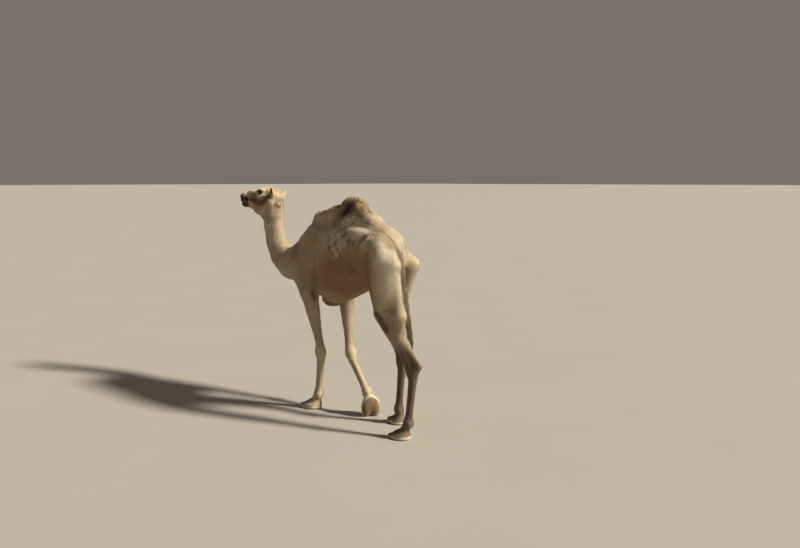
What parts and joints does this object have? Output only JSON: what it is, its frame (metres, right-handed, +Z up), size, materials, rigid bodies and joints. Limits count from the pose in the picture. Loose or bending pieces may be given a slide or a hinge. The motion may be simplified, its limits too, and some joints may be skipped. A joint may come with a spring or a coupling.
{
  "type": "dromedary camel",
  "caption": "Life-size still model of a dromedary camel in mid-walk, head raised, its right fore foot just leaving the floor.",
  "frame": {"origin": "middle of the model's footprint, on the floor", "axes": "+X the way the camel walks, +Y its left, +Z up"},
  "size_m": [2.3676, 0.5066, 2.0702],
  "materials": {
    "coat": "short cream to fawn hair",
    "horn": "dull dark horn",
    "eye": "wet dark brown",
    "pad": "bare grey-brown callus"
  },
  "bodies": {
    "root": {"trunk": "coat", "chest_pad": "pad", "tail": "coat", "hump": "coat", "neck": "coat", "ear_left": "coat", "eye_left": "eye", "ear_right": "coat", "eye_right": "eye", "head": "coat", "foreleg_left_forearm": "coat", "foreleg_left_cannon": "coat", "foreleg_left_nail_outer": "horn", "foreleg_left_nail_inner": "horn", "foreleg_left_foot": "coat", "foreleg_right_forearm": "coat", "foreleg_right_cannon": "coat", "foreleg_right_nail_outer": "horn", "foreleg_right_nail_inner": "horn", "foreleg_right_foot": "coat", "hindleg_left_thigh": "coat", "hindleg_left_shank": "coat", "hindleg_left_cannon": "coat", "hindleg_left_nail_outer": "horn", "hindleg_left_nail_inner": "horn", "hindleg_left_foot": "coat", "hindleg_right_thigh": "coat", "hindleg_right_shank": "coat", "hindleg_right_cannon": "coat", "hindleg_right_nail_outer": "horn", "hindleg_right_nail_inner": "horn", "hindleg_right_foot": "coat"}
  },
  "joints": []
}
